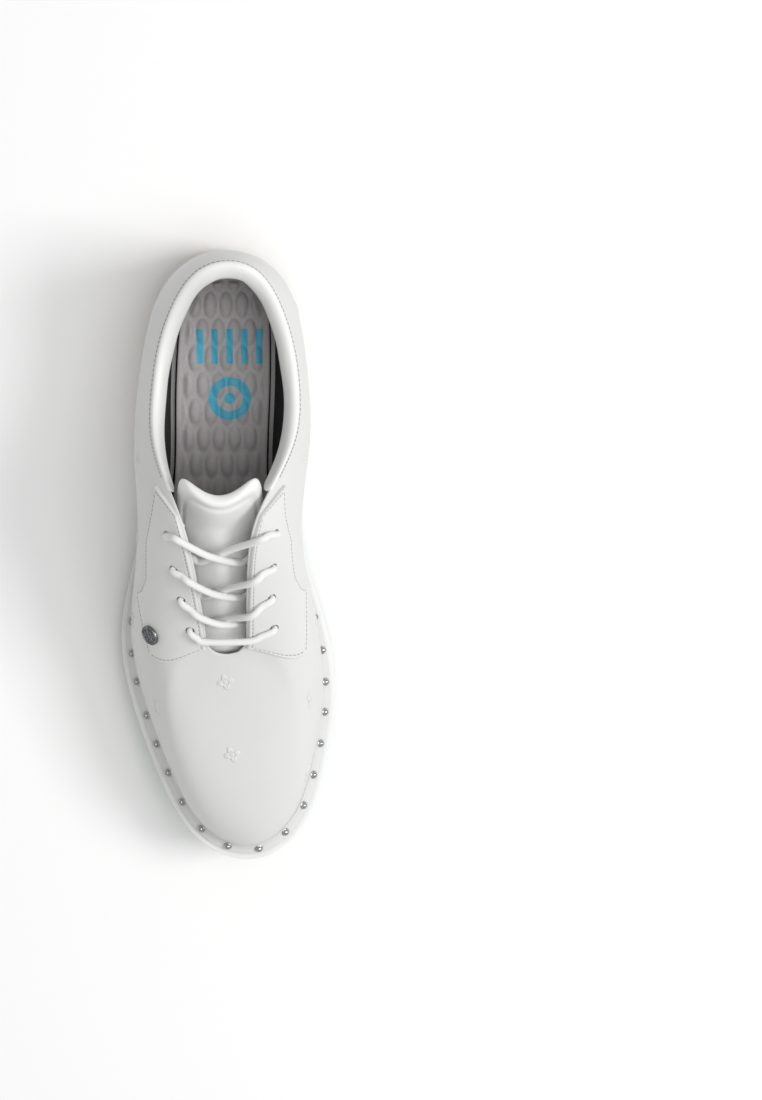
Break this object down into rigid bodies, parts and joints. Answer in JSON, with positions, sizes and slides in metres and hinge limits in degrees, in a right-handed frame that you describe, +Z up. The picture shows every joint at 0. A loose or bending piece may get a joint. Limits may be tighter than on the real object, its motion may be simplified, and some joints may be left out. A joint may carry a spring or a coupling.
{
  "type": "golf shoe",
  "caption": "Laced leather golf shoe, right foot, with studded welt, spiked outsole, padded collar, hinged tongue and lift-out footbed.",
  "frame": {"origin": "centre of the footprint's bounding box at floor level, under the lugs", "axes": "+Z up, toe towards -Y, heel towards +Y, outer (lateral) side of this right shoe towards -X"},
  "size_m": [0.106, 0.3, 0.1352],
  "materials": {
    "aglet_plastic": "clear white film",
    "badge_metal": "antique nickel",
    "black_lining": "black textile lining",
    "clear_tpu": "translucent clear polyurethane",
    "collar_leather": "soft white, matt",
    "cork": "cork and resin filler",
    "foam": "open-cell foam",
    "footbed_fabric": "grey moulded knit over foam",
    "footbed_foam": "moulded EVA foam",
    "insole_board": "fibre board",
    "lace_cotton": "round woven lace",
    "mint_tpu": "translucent mint polyurethane",
    "outsole_rubber": "beige moulded, matt",
    "rand_rubber": "pale grey, satin",
    "steel": "spring steel",
    "stiffener": "moulded fibre board",
    "stud_metal": "bright nickel",
    "tongue_leather": "soft white, matt",
    "upper_leather": "smooth white full-grain, semi-matt",
    "welt_rubber": "smooth white, satin"
  },
  "bodies": {
    "shoe": {"aglet_lateral": "aglet_plastic", "aglet_medial": "aglet_plastic", "badge_cap": "badge_metal", "badge_rivet": "steel", "badge_washer": "steel", "collar_foam": "foam", "collar_lining": "collar_leather", "eyelet_lateral_1": "steel", "eyelet_lateral_2": "steel", "eyelet_lateral_3": "steel", "eyelet_lateral_4": "steel", "eyelet_medial_1": "steel", "eyelet_medial_2": "steel", "eyelet_medial_3": "steel", "eyelet_medial_4": "steel", "facing_lateral": "upper_leather", "facing_medial": "upper_leather", "forefoot_lugs": "mint_tpu", "heel_counter": "stiffener", "heel_lugs": "clear_tpu", "insole_board": "insole_board", "lace": "lace_cotton", "lining": "black_lining", "midsole_core": "cork", "outsole": "outsole_rubber", "rand_strip": "rand_rubber", "shank": "steel", "toe_puff": "stiffener", "upper": "upper_leather", "welt": "welt_rubber", "welt_studs": "stud_metal"},
    "tongue": {"tongue_foam": "foam", "tongue_leather": "tongue_leather", "tongue_lining": "black_lining"},
    "footbed": {"footbed_cover": "footbed_fabric", "footbed_foam": "footbed_foam"}
  },
  "joints": [
    {"name": "tongue_hinge", "type": "hinge", "parent": "shoe", "child": "tongue", "pos_m": [0, -0.0475, 0.0672], "axis": [1, 0, 0], "range_deg": [-10, 0], "stiffness_Nm_per_rad": 0.05, "springref_deg": 11.46},
    {"name": "footbed_lift", "type": "hinge", "parent": "shoe", "child": "footbed", "pos_m": [0, -0.1335, 0.0435], "axis": [1, 0, 0], "range_deg": [0, 7]}
  ]
}
